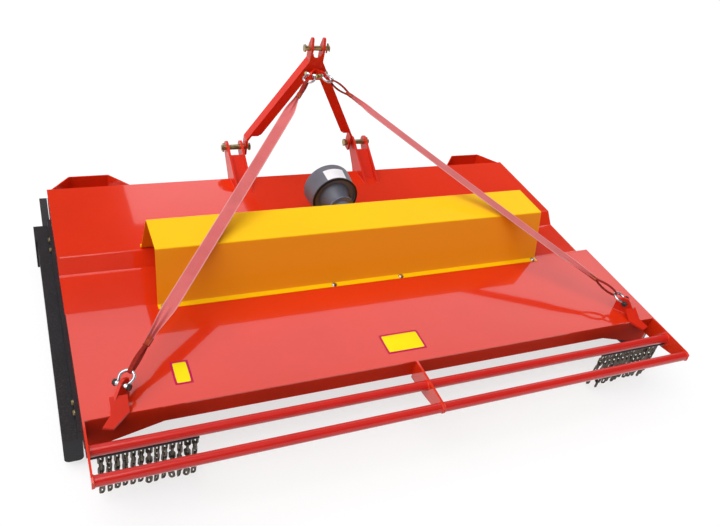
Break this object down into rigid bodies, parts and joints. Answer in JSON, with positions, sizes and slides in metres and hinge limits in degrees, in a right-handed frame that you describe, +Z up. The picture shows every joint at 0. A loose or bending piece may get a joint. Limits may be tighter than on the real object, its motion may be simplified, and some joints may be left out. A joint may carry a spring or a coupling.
{
  "type": "finishing mower",
  "caption": "Tractor-mounted rotary finishing mower: folded deck on skids, drive cover, input bell, lower hitch, hinged mast with strap stays, rear guard tubes and chain curtains.",
  "frame": {"origin": "on the ground under the middle of the machine's bounding box", "axes": "+X to the machine's right, across the cut; +Y forward, to the tractor; +Z up"},
  "size_m": [2.86, 1.9449, 1.0848],
  "materials": {
    "red_paint": "gloss sprayed enamel",
    "yellow_paint": "gloss sprayed enamel",
    "black_paint": "satin black paint",
    "casting": "painted grey casting",
    "chain_steel": "dull plated steel",
    "bright_steel": "bright zinc plate",
    "zinc_yellow": "yellow zinc plate",
    "blade_steel": "bare rolled steel",
    "black_plastic": "moulded dark grey plastic",
    "webbing": "woven red webbing"
  },
  "bodies": {
    "frame": {"chain_rails": "black_paint", "chains_front": "chain_steel", "chains_rear": "chain_steel", "cross_shaft_left": "black_plastic", "cross_shaft_right": "black_plastic", "deck_sheet": "red_paint", "drive_cover": "yellow_paint", "front_hood_left": "red_paint", "front_hood_right": "red_paint", "front_skirt": "red_paint", "gearbox_centre": "casting", "gearbox_side_left": "casting", "gearbox_side_right": "casting", "guard_centre_arm": "red_paint", "guard_tube_inner": "red_paint", "guard_tube_outer": "red_paint", "hitch_bracket_left": "red_paint", "hitch_bracket_right": "red_paint", "hitch_pin_left": "zinc_yellow", "hitch_pin_right": "zinc_yellow", "input_guard": "black_plastic", "rear_skirt": "red_paint", "shackles_low": "bright_steel", "side_plate_left": "red_paint", "side_plate_right": "red_paint", "skid_bolts": "zinc_yellow", "skid_left": "black_paint", "skid_right": "black_paint", "spindle_housing_left": "casting", "spindle_housing_right": "casting", "strap_bracket_left": "red_paint", "strap_bracket_right": "red_paint", "strap_left": "webbing", "strap_right": "webbing"},
    "mast": {"mast_leg_left": "red_paint", "mast_leg_right": "red_paint", "mast_head": "red_paint", "top_pin": "zinc_yellow", "shackles_top": "bright_steel"},
    "rotor_left": {"rotor_left": "red_paint", "blades_left": "blade_steel"},
    "rotor_right": {"rotor_right": "red_paint", "blades_right": "blade_steel"},
    "input_shaft": {"input_stub": "bright_steel"}
  },
  "joints": [
    {"name": "mast_hinge", "type": "hinge", "parent": "frame", "child": "mast", "pos_m": [0, 0.9365, 0.418], "axis": [1, 0, 0], "range_deg": [0, 45], "deforming": ["strap_left", "strap_right"]},
    {"name": "rotor_left_spin", "type": "hinge", "parent": "frame", "child": "rotor_left", "pos_m": [-0.672, 0.0325, 0.14], "axis": [0, 0, 1], "continuous": true},
    {"name": "rotor_right_spin", "type": "hinge", "parent": "frame", "child": "rotor_right", "pos_m": [0.672, 0.0325, 0.14], "axis": [0, 0, 1], "continuous": true},
    {"name": "input_spin", "type": "hinge", "parent": "frame", "child": "input_shaft", "pos_m": [0, 0.3545, 0.44], "axis": [0, 1, 0], "continuous": true}
  ],
  "couplings": [
    {"joint": "rotor_right_spin", "follows": "rotor_left_spin", "ratio": -1},
    {"joint": "input_spin", "follows": "rotor_left_spin", "ratio": 0.5}
  ]
}
